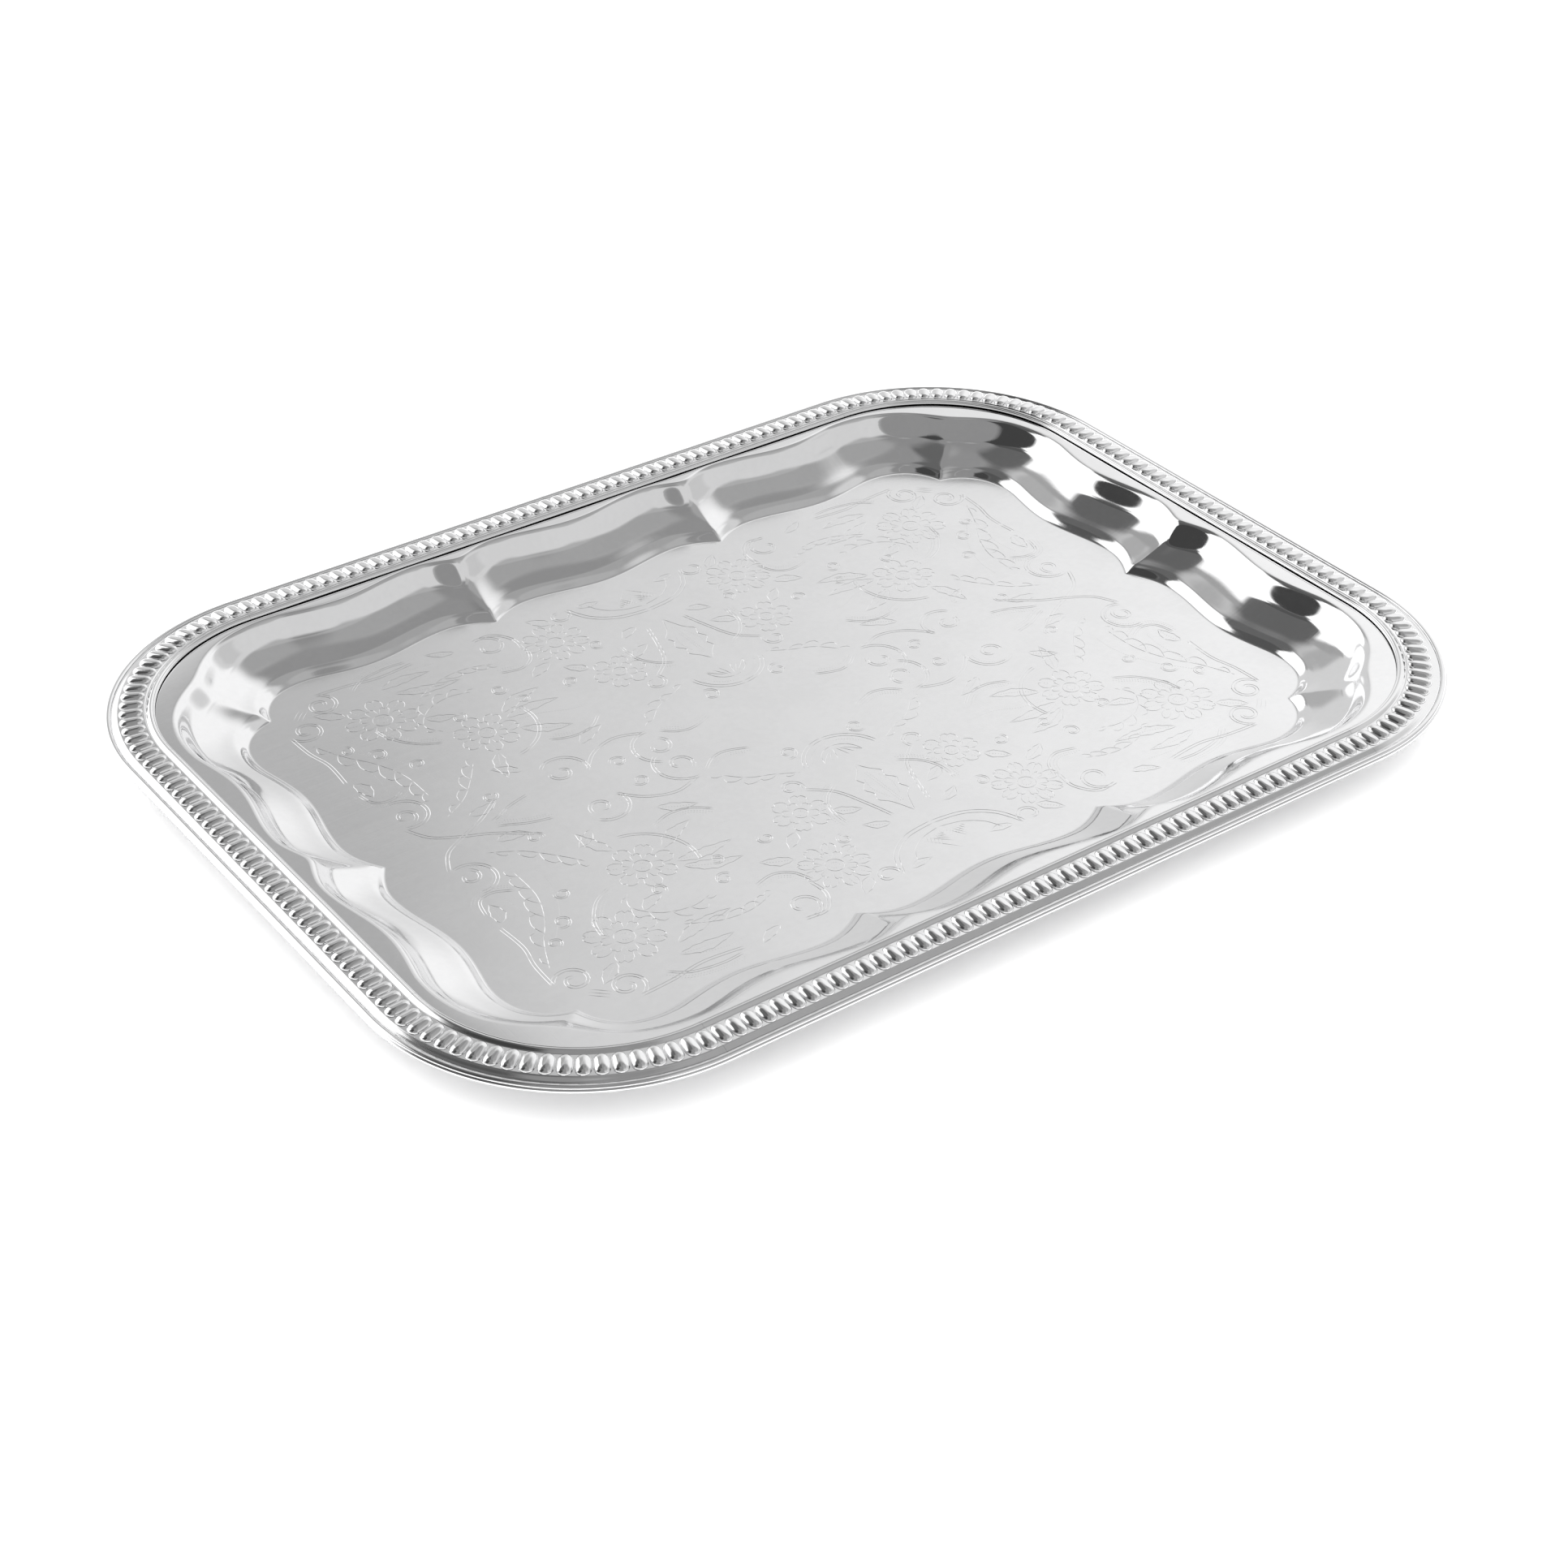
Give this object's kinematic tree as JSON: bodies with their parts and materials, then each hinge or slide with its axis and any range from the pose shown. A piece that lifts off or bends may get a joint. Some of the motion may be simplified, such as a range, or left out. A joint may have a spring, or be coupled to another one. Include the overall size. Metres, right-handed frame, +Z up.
{
  "type": "serving salver",
  "caption": "Rectangular plated salver with a flat well, a fluted wall, a flat flange and an applied gadroon border, for carrying and serving.",
  "frame": {"origin": "centre of the flat base, on the surface that the salver stands on", "axes": "+X along the long side, +Y along the short side, +Z up out of the well"},
  "size_m": [0.406, 0.305, 0.017],
  "materials": {
    "tray_plate": "bright plated sheet, mirror polished, engraved well",
    "border_plate": "bright plated casting, polished",
    "edge_plate": "bright plated wire, polished"
  },
  "bodies": {
    "root": {"tray_body": "tray_plate", "border_back": "border_plate", "border_corner_back_right": "border_plate", "border_right": "border_plate", "border_corner_front_right": "border_plate", "border_front": "border_plate", "border_corner_front_left": "border_plate", "border_left": "border_plate", "border_corner_back_left": "border_plate", "edge_wire_right": "edge_plate", "edge_wire_left": "edge_plate"}
  },
  "joints": []
}
